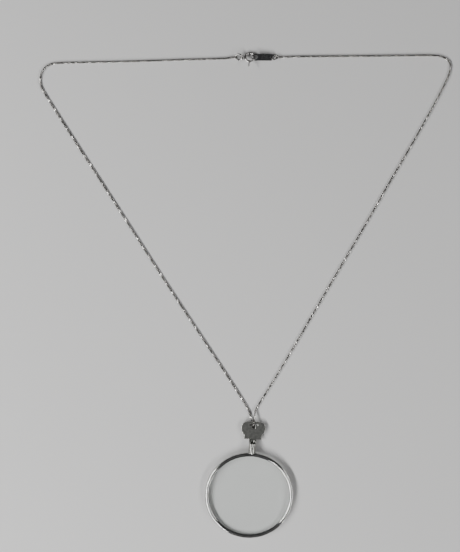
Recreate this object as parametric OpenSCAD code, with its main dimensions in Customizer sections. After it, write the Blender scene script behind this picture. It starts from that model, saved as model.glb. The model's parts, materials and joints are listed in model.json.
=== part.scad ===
// Magnifier pendant on a fine twisted chain, laid out flat.
// Millimetres, +Z up, table at Z = 0, origin on the table below the middle of the lens.
// +Y runs from the lens past the key bow to the clasp.

/* [Lens] */
// Diameter of the magnifying lens
lens_d = 41; // [30:0.5:50]
// Thickness of the lens at its edge
lens_edge = 0.9; // [0.6:0.05:1.1]
// Bulge of the front of the lens beyond its edge
lens_bulge = 2; // [1.2:0.1:2.5]

/* [Lens rim] */
// Diameter of the round wire of the rim
rim_wire_d = 2; // [1.9:0.05:2.3]
// Depth of the groove that holds the lens edge
groove_depth = 0.5; // [0.35:0.05:0.6]

/* [Key barrel] */
// Thickness of the sheet that the bow and the barrel are made of
sheet_t = 0.65; // [0.5:0.05:0.7]
// Outside diameter of the rolled barrel
barrel_d = 3.4; // [3.2:0.05:3.8]
// Length of the barrel from the rim to its open mouth
barrel_len = 4.9; // [4:0.1:8]
// Distance that the barrel's lower end reaches over the rim's wire
barrel_lap = 0.2; // [0.1:0.05:0.8]
// Length of the open tab between the mouth and the bow
tab_len = 1.6; // [0.8:0.1:2]
// Height of the curled sides of the tab at the mouth, above the middle of the barrel
flank_h = 0.25; // [0:0.05:0.6]
// Width of the seam where the rolled edges meet
seam_w = 0.25; // [0.15:0.05:0.4]
// Turn of the seam about the barrel, away from straight up
seam_turn = 17; // [0:1:40]
// Distance that the rim's post stops short of the mouth
post_inset = 1.3; // [0.5:0.1:2.5]

/* [Bow] */
// Width across the cheeks of the bow
bow_w = 11.9; // [11.5:0.1:14]
// Height of the bow
bow_h = 8.8; // [8.6:0.1:10]
// Radius of the upper shoulders
shoulder_r = 3; // [2.8:0.1:3.4]
// Radius of the lower cheeks
cheek_r = 4.6; // [4.4:0.1:5]
// Height of the straight side between cheek and shoulder
side_h = 0.4; // [0.2:0.05:0.7]
// Width of the neck above the feet
neck_w = 8.6; // [8.4:0.1:9]
// Radius of the notch at each side of the neck
notch_r = 0.8; // [0.7:0.05:0.9]
// Width across the tips of the feet
foot_w = 9.3; // [9.2:0.1:10]
// Height of the foot tips above the bow's lower edge
foot_tip_h = 0.7; // [0.5:0.05:0.75]
// Width of metal left between the cross and the upper edge
bridge_w = 0.6; // [0.5:0.05:0.8]
// Length of the upright slot of the cross
slot_len = 2.6; // [2.4:0.1:3]
// Room beside the chain in the upright slot
slot_room = 0.6; // [0.5:0.05:0.8]
// Length of the level slot of the cross
cross_len = 4; // [3:0.1:5]
// Height of the level slot of the cross
cross_h = 0.75; // [0.5:0.05:0.9]
// Distance from the top of the upright slot to the middle of the level slot
cross_drop = 0.7; // [0.5:0.05:1]

/* [Chain] */
// Diameter of the twisted chain
chain_d = 1; // [0.9:0.05:1.05]
// Wire diameter of the small links at the ends of the chain
end_link_wire_d = 0.4; // [0.3:0.05:0.45]
// Hole diameter of the small links at the ends of the chain
end_link_hole_d = 1; // [0.95:0.05:1.2]

/* [Jump rings] */
// Wire diameter of the jump rings
jump_wire_d = 0.5; // [0.4:0.05:0.5]
// Outside diameter of the jump ring at the clasp
jump_left_d = 3.8; // [3.4:0.1:4.2]
// Outside diameter of the jump ring at the end plate
jump_right_d = 3.1; // [2.9:0.1:3.3]
// Angle of the slit in each jump ring
jump_slit = 3; // [1:0.5:6]

/* [Clasp] */
// Outside diameter of the spring ring
clasp_d = 5.5; // [5.2:0.1:6]
// Diameter of the spring ring's tube
clasp_tube_d = 1.1; // [1:0.02:1.14]
// Diameter of the curved bolt inside the tube
bolt_d = 0.6; // [0.5:0.02:0.62]
// Angle of the gap that the bolt closes
clasp_gap = 42; // [36:1:46]
// Angle of the bolt's travel
bolt_travel = 48; // [47:1:52]
// Diameter of the trigger's pin
trigger_d = 0.5; // [0.4:0.02:0.54]
// Reach of the trigger beyond the spring ring
trigger_reach = 2.2; // [1.2:0.1:2.4]
// Diameter of the trigger's round end
trigger_end_d = 0.8; // [0.6:0.05:1]
// Hole diameter of the clasp's fixed loop
loop_hole_d = 1.15; // [1.1:0.05:1.3]
// Wire diameter of the clasp's fixed loop
loop_wire_d = 0.45; // [0.35:0.05:0.5]

/* [End plate] */
// Length of the end plate
plate_len = 10.8; // [9:0.1:14]
// Width of the end plate
plate_w = 3.3; // [3.2:0.05:3.5]
// Thickness of the end plate
plate_t = 0.35; // [0.3:0.05:0.4]
// Diameter of the plate's hole for the clasp
clasp_hole_d = 2.4; // [2.35:0.05:2.5]
// Diameter of the plate's hole for the jump ring
ring_hole_d = 1.3; // [1.25:0.05:1.5]
// Width of metal left between each hole and the plate's end
plate_edge = 0.45; // [0.35:0.05:0.6]

/* [Hidden] */
$fn = 96;
wire_fn = 32;
face_fn = 256;
eps = 0.01;

// Clearances between pieces
fit = 0.05;
chain_gap = 0.15;

// Lens and rim
lens_r = lens_d / 2;
face_r = (lens_r * lens_r + lens_bulge * lens_bulge) / (2 * lens_bulge);
rim_wire_r = rim_wire_d / 2;
rim_mid_r = lens_r - groove_depth + rim_wire_r;
rim_r = rim_mid_r + rim_wire_r;

// Key barrel, with distances measured from the middle of the lens
barrel_r = barrel_d / 2;
bore_r = barrel_r - sheet_t;
post_r = bore_r - fit;
barrel_y = rim_r - barrel_lap;
mouth_y = rim_r + barrel_len;
bow_y = mouth_y + tab_len;
sheet_top = sheet_t - barrel_r;

// Bow and the cross in it, with heights measured from the bow's lower edge
cheek_y = bow_h - shoulder_r - side_h;
slot_w = chain_d + slot_room;
slot_top = bow_h - bridge_w;

// Sides of the tube that stands for the chain, and the height of its middle where it lies
chain_sides = 10;
lying_z = chain_d / 2;

// The chain's turn round the bridge of metal above the cross
turn_r = sheet_t / 2 + chain_gap + chain_d / 2;
turn_y = bow_y + slot_top - slot_len / 2 + turn_r;
turn_x = slot_room / 2 - fit * 2;
turn_z = sheet_t / 2 - barrel_r;
turn_step = 30;

// The pendant lies on the far edge of its rim and on the chain under the bow
pendant_turn = -3.4;
bow_lift = lying_z + chain_d / 2 + chain_gap;
pendant_tilt = asin((bow_lift + barrel_r - rim_wire_r) / (turn_y + rim_mid_r));
pendant_z = rim_wire_r + rim_mid_r * sin(pendant_tilt);

// Spring ring clasp, rolled with its trigger side up
clasp_roll = -25;
clasp_mid_r = (clasp_d - clasp_tube_d) / 2;
clasp_bore_d = bolt_d + 2 * fit;
clasp_z = clasp_mid_r * sin(-clasp_roll) + clasp_tube_d / 2;
gap_end = -38;
gap_start = gap_end - clasp_gap;
bolt_overlap = 6;
bolt_len = 118;
trigger_lead = 17;
trigger_at = gap_start - trigger_lead;
slot_spare = asin((trigger_d / 2 + fit) / clasp_mid_r);
loop_mid_r = (loop_hole_d + loop_wire_d) / 2;
loop_sunk = 0.15;
loop_at = [loop_sunk - clasp_d / 2 - loop_mid_r - loop_wire_d / 2, 0, clasp_z];

// Furthest point of a ring's wire along X, from the ring's middle, once it is pitched
function side_of(mid_r, pitch) = mid_r * [cos(pitch), 0, -sin(pitch)];

// Jump ring at the clasp and the small link after it, each turned by its roll and its pitch
jump_left_r = (jump_left_d - jump_wire_d) / 2;
jump_left_turn = [30, -10];
jump_left_slit_at = 100;
jump_left_play = [0.05, 0, -0.06];
jump_left_side = side_of(jump_left_r, jump_left_turn[1]);
jump_left_at = loop_at + jump_left_play - jump_left_side;
end_link_r = (end_link_hole_d + end_link_wire_d) / 2;
end_left_turn = [-35, -10];
end_left_play = [-0.1, 0, -0.05];
end_left_at = jump_left_at - jump_left_side + end_left_play;

// End plate, hung on the clasp at its left end and lying on its lower edge
plate_roll = 22;
hook_play = [0.25, 0, -0.05];
hook_at = [clasp_mid_r, 0, clasp_z] + hook_play;
hook_inset = plate_edge + clasp_hole_d / 2;
ring_inset = plate_edge + ring_hole_d / 2;
plate_span = plate_len - hook_inset - ring_inset;
table_gap = 0.02;
plate_low_z = plate_w / 2 * sin(plate_roll) + plate_t / 2 + table_gap;
plate_pitch = asin((hook_at[2] - plate_low_z) / plate_span);
ring_hole_x = hook_at[0] + plate_span * cos(plate_pitch);

// Jump ring at the end plate and the small link after it
jump_right_r = (jump_right_d - jump_wire_d) / 2;
jump_right_turn = [-25, 0];
jump_right_slit_at = 70;
jump_right_play = 0.15;
jump_right_z = jump_right_r * sin(-jump_right_turn[0]) + jump_wire_d / 2 + table_gap;
jump_right_at = [ring_hole_x + jump_right_r - jump_right_play, 0, jump_right_z];
end_right_turn = [38, 8];
end_right_play = [0.1, 0, -0.03];
end_right_at = jump_right_at + side_of(jump_right_r, jump_right_turn[1]) + end_right_play;

// A point of the pendant, taken to where the pendant lies
function posed(p) =
    let (forward = p[1] * cos(pendant_tilt) - p[2] * sin(pendant_tilt))
    [p[0] * cos(pendant_turn) - forward * sin(pendant_turn),
     p[0] * sin(pendant_turn) + forward * cos(pendant_turn),
     pendant_z + p[1] * sin(pendant_tilt) + p[2] * cos(pendant_tilt)];

// The turn through the cross, from under the bridge to over it
bridge_turn = [for (a = [-90 : turn_step : 90])
    posed([turn_x * sin(a), turn_y - turn_r * cos(a), turn_z + turn_r * sin(a)])];

// Route of the chain's two strands, chosen by hand: X and Y from the turn, and the height
// as a share of the way up from lying flat to the top of the turn
strand_points = [
    [
        [-12.6, 178.6, 0], [-16.2, 178.4, 0], [-22.2, 178.2, 0], [-32.2, 178, 0],
        [-42.7, 177.6, 0], [-53.2, 177.3, 0], [-63.2, 177, 0], [-73.7, 176.8, 0],
        [-84.2, 176.6, 0], [-94.2, 176.4, 0], [-97.6, 176, 0], [-100.4, 174.7, 0],
        [-102.4, 172, 0], [-103.2, 168.6, 0], [-102.9, 165.5, 0], [-101.5, 162.6, 0],
        [-95.7, 153.2, 0], [-89.7, 143.7, 0], [-83.6, 134, 0], [-77.4, 124.4, 0],
        [-71.3, 114.7, 0], [-65.1, 104.9, 0], [-58.9, 95.1, 0], [-52.7, 85.2, 0],
        [-46.5, 75.4, 0], [-40.1, 65.4, 0], [-33.7, 55.5, 0], [-27.3, 45.7, 0],
        [-20.8, 35.7, 0], [-14.3, 25.7, 0], [-7.8, 15.5, 0], [-3.6, 8.7, 0],
        [-2.1, 5.6, 0], [-1.3, 2.9, 0], [-0.8, 1.3, 0]
    ],
    [
        [0.2, 1.4, 1], [0.3, 2.7, 0.88], [0.4, 4.1, 0.62], [0.6, 5.5, 0.33],
        [1, 6.8, 0.12], [1.7, 8.3, 0.02], [3.3, 10.9, 0], [7.3, 17.3, 0],
        [13.2, 27.3, 0], [19.2, 37.5, 0], [25, 47.7, 0], [30.8, 57.9, 0],
        [36.6, 68, 0], [42.4, 78.1, 0], [48.2, 88.1, 0], [53.9, 98.1, 0],
        [59.5, 108.1, 0], [65.1, 118.2, 0], [70.8, 128.1, 0], [76.5, 138, 0],
        [82, 147.9, 0], [87.4, 157.8, 0], [91.9, 166.9, 0], [93.6, 170.9, 0],
        [94.3, 174.1, 0], [93.9, 176.7, 0], [92.2, 178.6, 0], [89.4, 179.6, 0],
        [86.2, 180, 0], [79.3, 180, 0], [72.3, 179.9, 0], [58.8, 179.7, 0],
        [44.8, 179.6, 0], [31.3, 179.5, 0], [19.8, 179.4, 0]
    ]
];

// Place of the clasp on the table, measured from the turn
clasp_from_turn = [-2.2, 179.1];
turn_at = posed([0, turn_y, turn_z]);
over_z = bridge_turn[len(bridge_turn) - 1][2];
fastening_at = [turn_at[0] + clasp_from_turn[0], turn_at[1] + clasp_from_turn[1], 0];

function strand(points) = [for (p = points)
    [turn_at[0] + p[0], turn_at[1] + p[1], lying_z + p[2] * (over_z - lying_z)]];

// The chain stops just short of the small link at each of its ends
end_link_reach = end_link_r + end_link_wire_d / 2 + 2 * fit;
left_end = fastening_at + [end_left_at[0] - end_link_reach, 0, lying_z];
right_end = fastening_at + [end_right_at[0] + end_link_reach, 0, lying_z];
chain_route = concat([left_end], strand(strand_points[0]), bridge_turn,
                     strand(strand_points[1]), [right_end]);

// Frames that the pieces are placed in

module pendant_pose() {
    translate([0, 0, pendant_z])
        rotate([0, 0, pendant_turn])
            rotate([pendant_tilt, 0, 0])
                children();
}

module clasp_pose() {
    translate(fastening_at)
        translate([0, 0, clasp_z])
            rotate([clasp_roll, 0, 0])
                children();
}

module plate_pose() {
    translate(fastening_at)
        translate(hook_at)
            rotate([0, plate_pitch, 0])
                rotate([plate_roll, 0, 0])
                    children();
}

// Rolls its children about X, pitches them about Y and moves them to a point of the fastening
module wire_pose(at, turn) {
    translate(fastening_at)
        translate(at)
            rotate([0, turn[1], 0])
                rotate([turn[0], 0, 0])
                    children();
}

// Shapes used more than once

module wire_ring(mid_r, wire_d, slit = 0) {
    rotate([0, 0, slit / 2])
        rotate_extrude(angle = 360 - slit)
            translate([mid_r, 0])
                circle(d = wire_d, $fn = wire_fn);
}

// Part of a ring of round wire from one angle to another
module wire_arc(mid_r, wire_d, from, to) {
    rotate([0, 0, from])
        rotate_extrude(angle = to - from)
            translate([mid_r, 0])
                circle(d = wire_d, $fn = wire_fn);
}

module y_rod(r, from, to) {
    translate([0, from, 0])
        rotate([-90, 0, 0])
            cylinder(r = r, h = to - from);
}

// The lens, or with some room added all round, the space that it needs
module lens_shape(room = 0) {
    rotate_extrude()
        intersection() {
            translate([0, -lens_edge / 2 - room])
                square([lens_r + room, lens_edge + lens_bulge + 2 * room]);
            translate([0, lens_edge / 2 + lens_bulge - face_r])
                circle(r = face_r + room, $fn = face_fn);
        }
}

// Pieces of the magnifier

module lens_rim() {
    color("gainsboro")
        pendant_pose()
            difference() {
                union() {
                    wire_ring(rim_mid_r, rim_wire_d);
                    y_rod(post_r, rim_mid_r, mouth_y - post_inset);
                }
                lens_shape(fit);
            }
}

module lens() {
    color("lightcyan", 0.4)
        pendant_pose()
            lens_shape();
}

module key_bow() {
    color("slategray")
        pendant_pose()
            difference() {
                union() {
                    y_rod(barrel_r, barrel_y, bow_y);
                    translate([0, bow_y, -barrel_r])
                        linear_extrude(sheet_t)
                            bow_outline();
                }
                y_rod(bore_r, rim_mid_r - rim_wire_d, bow_y);
                mouth_cut();
                seam_cut();
                wire_ring(rim_mid_r, rim_wire_d + 2 * fit);
            }
}

// Opens the barrel above its tab, with a slope up from the bow to the mouth
module mouth_cut() {
    translate([-barrel_d, 0, 0])
        rotate([90, 0, 90])
            linear_extrude(2 * barrel_d)
                polygon([
                    [mouth_y, barrel_d],
                    [mouth_y, flank_h],
                    [bow_y, sheet_top],
                    [bow_y + eps, sheet_top],
                    [bow_y + eps, barrel_d]
                ]);
}

module seam_cut() {
    rotate([0, -seam_turn, 0])
        translate([-seam_w / 2, rim_mid_r - rim_wire_d, 0])
            cube([seam_w, bow_y - rim_mid_r + rim_wire_d, barrel_d]);
}

// Outline of the flat bow, with Y measured up from its lower edge
module bow_outline() {
    difference() {
        union() {
            for (side = [-1, 1]) {
                translate([side * (bow_w / 2 - shoulder_r), bow_h - shoulder_r])
                    circle(r = shoulder_r);
                intersection() {
                    translate([side * (bow_w / 2 - cheek_r), cheek_y])
                        circle(r = cheek_r);
                    translate([-bow_w, 0])
                        square([2 * bow_w, cheek_y]);
                }
            }
            translate([-bow_w / 2, cheek_y])
                square([bow_w, side_h]);
            translate([shoulder_r - bow_w / 2, cheek_y])
                square([bow_w - 2 * shoulder_r, side_h + shoulder_r]);
            foot_outline();
        }
        for (side = [-1, 1])
            translate([side * (neck_w / 2 + notch_r), foot_tip_h + notch_r])
                circle(r = notch_r);
        cross_outline();
    }
}

module foot_outline() {
    base = foot_w / 2 - foot_tip_h / 2;
    tip = foot_w / 2;
    foot_top = foot_tip_h + 2 * notch_r;
    polygon([
        [-base, 0], [base, 0],
        [tip, foot_tip_h], [tip, foot_top],
        [-tip, foot_top], [-tip, foot_tip_h]
    ]);
}

module cross_outline() {
    translate([-slot_w / 2, slot_top - slot_len])
        square([slot_w, slot_len]);
    translate([-cross_len / 2, slot_top - cross_drop - cross_h / 2])
        square([cross_len, cross_h]);
}

// The chain, as one tube swept along its route

function unit(v) = v / norm(v);

// A direction square to the tangent, kept as near as it can be to the one before
function squared(v, tangent) = unit(v - (v * tangent) * tangent);

module tube_along(route, d, sides) {
    last = len(route) - 1;
    tangents = [for (i = [0 : last])
        unit(route[min(i + 1, last)] - route[max(i - 1, 0)])];
    ups = [for (i = 0, up = squared([0, 0, 1], tangents[0]); i <= last;
        i = i + 1, up = squared(up, tangents[min(i, last)])) up];
    points = [for (i = [0 : last], k = [0 : sides - 1])
        let (a = 360 * (k + 0.5) / sides, across = cross(tangents[i], ups[i]))
        route[i] + d / 2 * (sin(a) * across - cos(a) * ups[i])];
    walls = [for (i = [0 : last - 1], k = [0 : sides - 1])
        let (next = (k + 1) % sides, base = i * sides, above = base + sides)
        [base + k, above + k, above + next, base + next]];
    start_cap = [for (k = [0 : sides - 1]) k];
    end_cap = [for (k = [sides - 1 : -1 : 0]) last * sides + k];
    polyhedron(points = points, faces = concat([start_cap], walls, [end_cap]));
}

module chain() {
    color("silver")
        tube_along(chain_route, chain_d, chain_sides);
}

module end_link_left() {
    color("silver")
        wire_pose(end_left_at, end_left_turn)
            wire_ring(end_link_r, end_link_wire_d);
}

module end_link_right() {
    color("silver")
        wire_pose(end_right_at, end_right_turn)
            wire_ring(end_link_r, end_link_wire_d);
}

// Pieces of the fastening

module jump_ring_left() {
    color("silver")
        wire_pose(jump_left_at, jump_left_turn)
            rotate([0, 0, jump_left_slit_at])
                wire_ring(jump_left_r, jump_wire_d, jump_slit);
}

module jump_ring_right() {
    color("silver")
        wire_pose(jump_right_at, jump_right_turn)
            rotate([0, 0, jump_right_slit_at])
                wire_ring(jump_right_r, jump_wire_d, jump_slit);
}

module clasp_body() {
    color("dimgray")
        clasp_pose()
            difference() {
                union() {
                    wire_arc(clasp_mid_r, clasp_tube_d, gap_end, gap_start + 360);
                    translate([loop_at[0], 0, 0])
                        wire_ring(loop_mid_r, loop_wire_d);
                }
                wire_ring(clasp_mid_r, clasp_bore_d);
                trigger_slot();
            }
}

// Slot in the outer wall of the tube, for the trigger's whole travel
module trigger_slot() {
    rotate([0, 0, trigger_at - bolt_travel - slot_spare])
        rotate_extrude(angle = bolt_travel + 2 * slot_spare)
            translate([clasp_mid_r, -trigger_d / 2 - fit])
                square([clasp_tube_d, trigger_d + 2 * fit]);
}

module clasp_bolt() {
    tip = gap_end + bolt_overlap;
    knob_at = clasp_d / 2 + trigger_reach - trigger_end_d / 2;
    color("silver")
        clasp_pose() {
            wire_arc(clasp_mid_r, bolt_d, tip - bolt_len, tip);
            rotate([0, 0, trigger_at]) {
                translate([clasp_mid_r, 0, 0])
                    rotate([0, 90, 0])
                        cylinder(d = trigger_d, h = knob_at - clasp_mid_r, $fn = wire_fn);
                translate([knob_at, 0, 0])
                    sphere(d = trigger_end_d, $fn = wire_fn);
            }
        }
}

module end_plate() {
    color("dimgray")
        plate_pose()
            translate([0, 0, -plate_t / 2])
                linear_extrude(plate_t)
                    difference() {
                        plate_outline();
                        circle(d = clasp_hole_d);
                        translate([plate_span, 0])
                            circle(d = ring_hole_d);
                    }
}

// Oblong with round ends, from the middle of the clasp's hole
module plate_outline() {
    end_r = plate_w / 2;
    left = end_r - hook_inset;
    right = plate_span + ring_inset - end_r;
    translate([left, -end_r])
        square([right - left, plate_w]);
    for (x = [left, right])
        translate([x, 0])
            circle(r = end_r);
}

lens_rim();
lens();
key_bow();
chain();
end_link_left();
jump_ring_left();
clasp_body();
clasp_bolt();
end_plate();
jump_ring_right();
end_link_right();
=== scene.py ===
"""Magnifier pendant on a fine twisted chain, laid out flat on a pale floor.

Sizes are in millimetres and points are in the frame's axes: +Z up from the floor, and +Y from
the lens past the key bow to the clasp. Every piece is worked out in its own axes and then put
in its place, so that its object stays at the origin.
"""

from __future__ import annotations

import json
import logging
import math
from dataclasses import dataclass
from enum import Enum
from typing import Callable, Optional, Sequence, Union

import bmesh
import bpy
import numpy as np
from mathutils import Matrix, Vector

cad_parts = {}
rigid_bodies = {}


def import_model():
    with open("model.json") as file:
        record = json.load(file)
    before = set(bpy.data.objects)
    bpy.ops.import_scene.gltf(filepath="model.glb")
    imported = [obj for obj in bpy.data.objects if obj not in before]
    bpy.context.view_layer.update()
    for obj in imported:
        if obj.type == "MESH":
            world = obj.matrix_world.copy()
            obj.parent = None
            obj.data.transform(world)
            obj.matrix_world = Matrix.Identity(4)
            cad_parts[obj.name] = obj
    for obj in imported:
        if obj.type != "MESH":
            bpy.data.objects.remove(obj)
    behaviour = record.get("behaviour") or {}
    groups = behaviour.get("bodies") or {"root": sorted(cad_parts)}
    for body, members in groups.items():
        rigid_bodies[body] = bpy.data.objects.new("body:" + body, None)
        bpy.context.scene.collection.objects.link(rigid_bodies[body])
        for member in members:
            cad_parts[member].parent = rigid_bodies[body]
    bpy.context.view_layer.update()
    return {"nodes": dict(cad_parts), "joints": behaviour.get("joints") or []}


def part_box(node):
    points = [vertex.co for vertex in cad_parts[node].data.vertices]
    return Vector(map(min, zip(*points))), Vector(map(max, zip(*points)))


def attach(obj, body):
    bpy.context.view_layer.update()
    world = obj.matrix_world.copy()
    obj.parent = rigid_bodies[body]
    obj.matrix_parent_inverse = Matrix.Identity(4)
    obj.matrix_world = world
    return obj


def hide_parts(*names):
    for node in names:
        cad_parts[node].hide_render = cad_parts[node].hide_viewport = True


Array = np.ndarray
Colour = tuple[float, float, float]

MM = 0.001
# Points closer than this many metres are welded
WELD = 1e-7
# Points of a sheet that agree to this many digits, in millimetres, are the same point
SAME_DIGITS = 4
# Points of an outline closer than this many millimetres are the same point
SAME_POINT = 1e-6
# Keeps what is divided by away from nothing
TINY = 1e-12
# Exponent of the wear's fading away from a sheet's edges
WEAR_FADE = 1.5
# Edges at which faces meet at more than these angles, in degrees, stay sharp
SHARP_TURNED = 35.0
SHARP_SHEET = 45.0
SHARP_WIRE = 50.0
LOG = logging.getLogger("necklace")


class Body(Enum):
    """The bodies of the frame that pieces ride on."""

    NECKLACE = "necklace"
    BOLT = "bolt"


class Slot(Enum):
    """The record's material slots."""

    RIM = "rim_metal"
    LENS = "lens_glass"
    KEY = "key_metal"
    CHAIN = "chain_metal"
    CLASP = "clasp_metal"
    PLATE = "plate_metal"


@dataclass(frozen=True)
class Pose:
    """A place for a piece: its points are rolled about X, pitched about Y, turned about Z and moved."""

    roll: float = 0.0
    pitch: float = 0.0
    turn: float = 0.0
    at: tuple[float, float, float] = (0.0, 0.0, 0.0)

    def matrix(self) -> Array:
        """The turns as one matrix, the roll first and the turn last."""
        a, b, c = np.radians([self.roll, self.pitch, self.turn])
        roll = np.array([[1, 0, 0], [0, np.cos(a), -np.sin(a)], [0, np.sin(a), np.cos(a)]])
        pitch = np.array([[np.cos(b), 0, np.sin(b)], [0, 1, 0], [-np.sin(b), 0, np.cos(b)]])
        turn = np.array([[np.cos(c), -np.sin(c), 0], [np.sin(c), np.cos(c), 0], [0, 0, 1]])
        return turn @ pitch @ roll

    def place(self, points: Array) -> Array:
        """Points of the piece's own axes, taken to where the piece lies.

        Args:
            points: Rows of X, Y and Z.

        Returns:
            The same rows in the frame's axes.
        """
        return points @ self.matrix().T + np.array(self.at)


@dataclass
class Form:
    """A surface of points and four-sided faces, with how worn each point is, from 0 to 1."""

    points: Array
    faces: Array
    wear: Optional[Array] = None

    def worn(self) -> Array:
        """The wear of each point, or zeros where none was worked out."""
        return np.zeros(len(self.points)) if self.wear is None else self.wear

    def __add__(self, other: Form) -> Form:
        """Both surfaces as one."""
        return Form(
            np.vstack([self.points, other.points]),
            np.vstack([self.faces, other.faces + len(self.points)]),
            np.concatenate([self.worn(), other.worn()]),
        )

    def placed(self, pose: Pose) -> Form:
        """The surface taken to where its piece lies."""
        return Form(pose.place(self.points), self.faces, self.wear)


def grid_faces(rows: int, columns: int, loop_rows: bool = False, loop_columns: bool = False) -> Array:
    """A face between each four neighbours of a grid, also past its last row or column if that is a loop."""
    down = rows if loop_rows else rows - 1
    across = columns if loop_columns else columns - 1
    i, j = np.meshgrid(np.arange(down), np.arange(across), indexing="ij")
    k = (j + 1) % columns
    low, high = i * columns, (i + 1) % rows * columns
    return np.stack([low + j, low + k, high + k, high + j], axis=-1).reshape(-1, 4)


def grid_form(points: Array, loop: bool = False) -> Form:
    """A surface through a grid of points, with a face between each four neighbours.

    Args:
        points: Rows, columns and X, Y, Z.
        loop: Whether the last column joins the first.

    Returns:
        The surface, with its points in one list.
    """
    return Form(points.reshape(-1, 3), grid_faces(*points.shape[:2], loop_columns=loop))


def towards(angle: Array) -> Array:
    """The cosine and the sine of each angle, in radians."""
    return np.stack([np.cos(angle), np.sin(angle)], axis=1)


def circle(radius: float, sides: int) -> Array:
    """Points of a circle, at evenly spaced angles."""
    return radius * towards(2 * np.pi * np.arange(sides) / sides)


def unit(vectors: Array) -> Array:
    """The vectors, each made one long."""
    return vectors / np.linalg.norm(vectors, axis=-1, keepdims=True)


def round_wire(path: Array, side: Array, size: Array, radius: float, sides: int) -> Form:
    """Round wire along a level path.

    Each point is the path's point plus its size times the X of a circle along side and the Y along Z.

    Args:
        path: Rows of points.
        side: The level direction square to the path, at each of them or the same at all.
        size: The wire's size at each of them, as a share of the full radius.
        radius: Radius of the wire.
        sides: Sides of the wire.

    Returns:
        The surface, open at its two ends where the size isn't nothing.
    """
    profile = circle(radius, sides)
    ring = profile[:, :1] * side[..., None, :] + profile[:, 1:] * np.array([0.0, 0.0, 1.0])
    return grid_form(path[:, None, :] + size[:, None, None] * ring, loop=True)


def revolved(profile: Array, steps: int, loop: bool) -> Form:
    """A profile turned once about Z: its X is the distance from the axis, its Y is the height.

    Args:
        profile: Rows of distance and height.
        steps: How many times the circle is divided.
        loop: Whether the profile is closed.

    Returns:
        The surface, with a seam of doubled points for the weld.
    """
    angle = np.linspace(0, 2 * np.pi, steps + 1)[:, None]
    r, z = profile[None, :, 0], profile[None, :, 1]
    points = np.stack([r * np.cos(angle), r * np.sin(angle), z + 0 * angle], axis=-1)
    return grid_form(points, loop=loop)


def rounded_ends(length: float, radius: float, edge: float, middle: int) -> tuple[Array, Array]:
    """Where the rings of a wire with rounded ends lie along it, and their size.

    At each end the size grows from nothing over the flat cut, and then over a quarter circle.

    Args:
        length: Length of the wire.
        radius: Radius of the wire.
        edge: Radius of the rounding at its cut ends.
        middle: How many parts the rest is divided into.

    Returns:
        The distances from the start, and the sizes as shares of the full radius.
    """
    bow = np.radians([0, 30, 60, 90])
    start = np.concatenate([[0.0], edge * (1 - np.cos(bow))])
    size = np.concatenate([[0.0], 1 - edge / radius + edge / radius * np.sin(bow)])
    between = np.linspace(edge, length - edge, middle + 1)[1:-1]
    along = np.concatenate([start, between, length - start[::-1]])
    return along, np.concatenate([size, np.ones(len(between)), size[::-1]])


def wire_arc(
    mid_r: float, wire_r: float, start: float, end: float, edge: float, steps: int, sides: int = 20
) -> Form:
    """Round wire bent round Z from one angle to another, with rounded ends.

    Args:
        mid_r: Radius of the bend, to the middle of the wire.
        wire_r: Radius of the wire.
        start: First angle in degrees.
        end: Last angle in degrees.
        edge: Radius of the rounding at the cut ends.
        steps: How many parts the arc is divided into.
        sides: Sides of the wire.

    Returns:
        The closed wire.
    """
    along, size = rounded_ends(mid_r * math.radians(end - start), wire_r, edge, steps)
    angle = math.radians(start) + along / mid_r
    out = np.stack([np.cos(angle), np.sin(angle), 0 * angle], axis=1)
    return round_wire(mid_r * out, out, size, wire_r, sides)


def rod(radius: float, start: float, end: float, edge: float, sides: int = 32) -> Form:
    """A straight rod along X from start to end, with rounded ends."""
    along, size = rounded_ends(end - start, radius, edge, 2)
    path = np.stack([start + along, 0 * along, 0 * along], axis=1)
    return round_wire(path, np.array([0.0, 1.0, 0.0]), size, radius, sides)


def ball(radius: float, centre: tuple[float, float, float], steps: int = 24) -> Form:
    """A ball: points at radius from centre for each latitude and longitude."""
    latitude = np.linspace(-np.pi / 2, np.pi / 2, steps // 2 + 1)
    return revolved(radius * towards(latitude), steps, loop=False).placed(Pose(at=centre))


def arc(centre: Sequence[float], radius: float, start: float, end: float, step: float) -> Array:
    """Points of an arc in a plane, from one angle to another in degrees, about step apart."""
    count = max(2, int(round(abs(end - start) / step)) + 1)
    return np.array(centre) + radius * towards(np.radians(np.linspace(start, end, count)))


def line(start: Sequence[float], end: Sequence[float], step: float) -> Array:
    """Points of a straight line in a plane, about step apart."""
    first, last = np.array(start, float), np.array(end, float)
    count = max(2, int(round(np.linalg.norm(last - first) / step)) + 1)
    return first + np.linspace(0, 1, count)[:, None] * (last - first)


def chained(*runs: Array) -> Array:
    """Runs of points joined into one outline, without the points that two runs share."""
    points = np.vstack(runs)
    apart = np.linalg.norm(points - np.roll(points, 1, axis=0), axis=1) > SAME_POINT
    return points[apart]


def across(width: Array, edge: float, inner: int) -> Array:
    """Distances across a sheet from one edge to the other, with rows of their own for the rounding.

    The rounding's rows lie where a quarter circle of radius edge has turned by 0, 30, 60 and 90 degrees.

    Args:
        width: Width of the sheet, for each line across it.
        edge: Radius of the rounding at its edges.
        inner: How many parts the rest is divided into.

    Returns:
        The distances, one row for each line across.
    """
    turned = edge * (1 - np.sin(np.radians([90, 60, 30, 0])))
    width = np.asarray(width, float)[..., None]
    middle = edge + np.linspace(0, 1, inner + 1)[1:-1] * (width - 2 * edge)
    return np.concatenate([turned + 0 * width, middle, width - turned[::-1]], axis=-1)


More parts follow.
